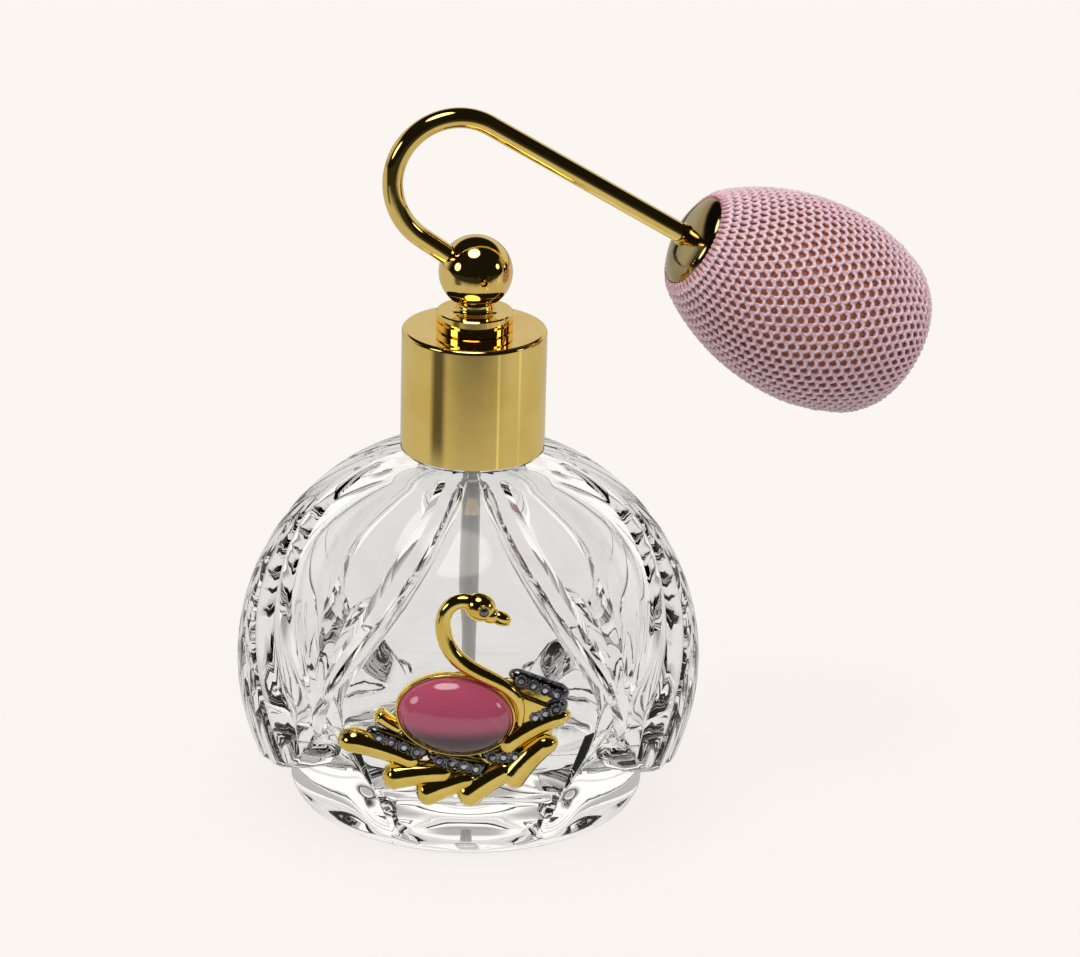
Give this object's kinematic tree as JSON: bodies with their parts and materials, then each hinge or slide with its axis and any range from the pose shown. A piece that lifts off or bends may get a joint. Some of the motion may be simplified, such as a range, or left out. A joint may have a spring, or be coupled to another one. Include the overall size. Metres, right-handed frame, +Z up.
{
  "type": "perfume atomiser",
  "caption": "Round pressed glass bottle with a screwed metal collar, ball nozzle, goose-neck air tube, netted rubber squeeze bulb and a jewelled swan on the front.",
  "frame": {"origin": "middle of the flat base that the bottle stands on", "axes": "+Z up along the neck, -Y towards the front with the swan, +X towards the side that the bulb hangs on"},
  "size_m": [0.1093, 0.0667, 0.1141],
  "materials": {
    "clear_glass": "clear pressed glass, fire polished",
    "gilt": "bright gold plate, polished",
    "gilt_casting": "gold-plated casting, polished",
    "rhodium": "dark rhodium plate",
    "small_stones": "cut crystal with foiled backs",
    "rose_glass": "polished rose glass",
    "white_moulding": "natural polypropylene",
    "grey_seal": "soft sealing rubber",
    "clear_tube": "translucent extruded tube",
    "steel": "bright steel",
    "tan_rubber": "moulded tan rubber",
    "rose_yarn": "crocheted rayon yarn",
    "clear_adhesive": "cured clear resin"
  },
  "bodies": {
    "bottle": {"glass_bottle": "clear_glass", "adhesive_pad": "clear_adhesive", "swan_casting": "gilt_casting", "stone_bezel": "gilt_casting", "cabochon": "rose_glass", "pave_plates": "rhodium", "pave_stones": "small_stones", "eye_stone": "small_stones"},
    "seal": {"sealing_washer": "grey_seal"},
    "collar": {"collar_shell": "gilt", "closure_insert": "white_moulding"},
    "head": {"dip_socket": "white_moulding", "atomiser_stem": "gilt", "ball_head": "gilt", "liquid_tube": "steel", "dip_tube": "clear_tube", "nozzle_insert": "gilt", "goose_neck_tube": "gilt", "tube_nipple": "gilt"},
    "bulb": {"bulb_cup": "gilt", "bulb_bush": "white_moulding", "rubber_bulb": "tan_rubber", "net_cover": "rose_yarn", "net_tie": "rose_yarn"},
    "tail": {"tail_valve": "white_moulding", "ball_keeper": "white_moulding"},
    "inlet_ball": {"valve_ball": "steel"}
  },
  "joints": [
    {"name": "head_lift", "type": "slide", "parent": "bottle", "child": "seal", "axis": [0, 0, 1], "range_m": [0, 0.006]},
    {"name": "collar_turn", "type": "hinge", "parent": "seal", "child": "collar", "pos_m": [0, 0, 0.0686], "axis": [0, 0, 1], "range_deg": [0, 680.32]},
    {"name": "head_swivel", "type": "hinge", "parent": "seal", "child": "head", "pos_m": [0, 0, 0.078], "axis": [0, 0, 1], "continuous": true},
    {"name": "bulb_twist", "type": "hinge", "parent": "head", "child": "bulb", "pos_m": [0.03193, 0.00679, 0.09206], "axis": [0.8445, 0.1795, -0.5045], "continuous": true},
    {"name": "bulb_squeeze", "type": "slide", "parent": "bulb", "child": "tail", "axis": [-0.8445, -0.1795, 0.5045], "range_m": [0, 0.012], "stiffness_N_per_m": 600, "deforming": ["rubber_bulb", "net_cover"]},
    {"name": "inlet_ball_lift", "type": "slide", "parent": "tail", "child": "inlet_ball", "axis": [-0.8445, -0.1795, 0.5045], "range_m": [0, 0.0008]}
  ],
  "couplings": [
    {"joint": "collar_turn", "follows": "head_lift", "rad_per_m": 1979}
  ]
}
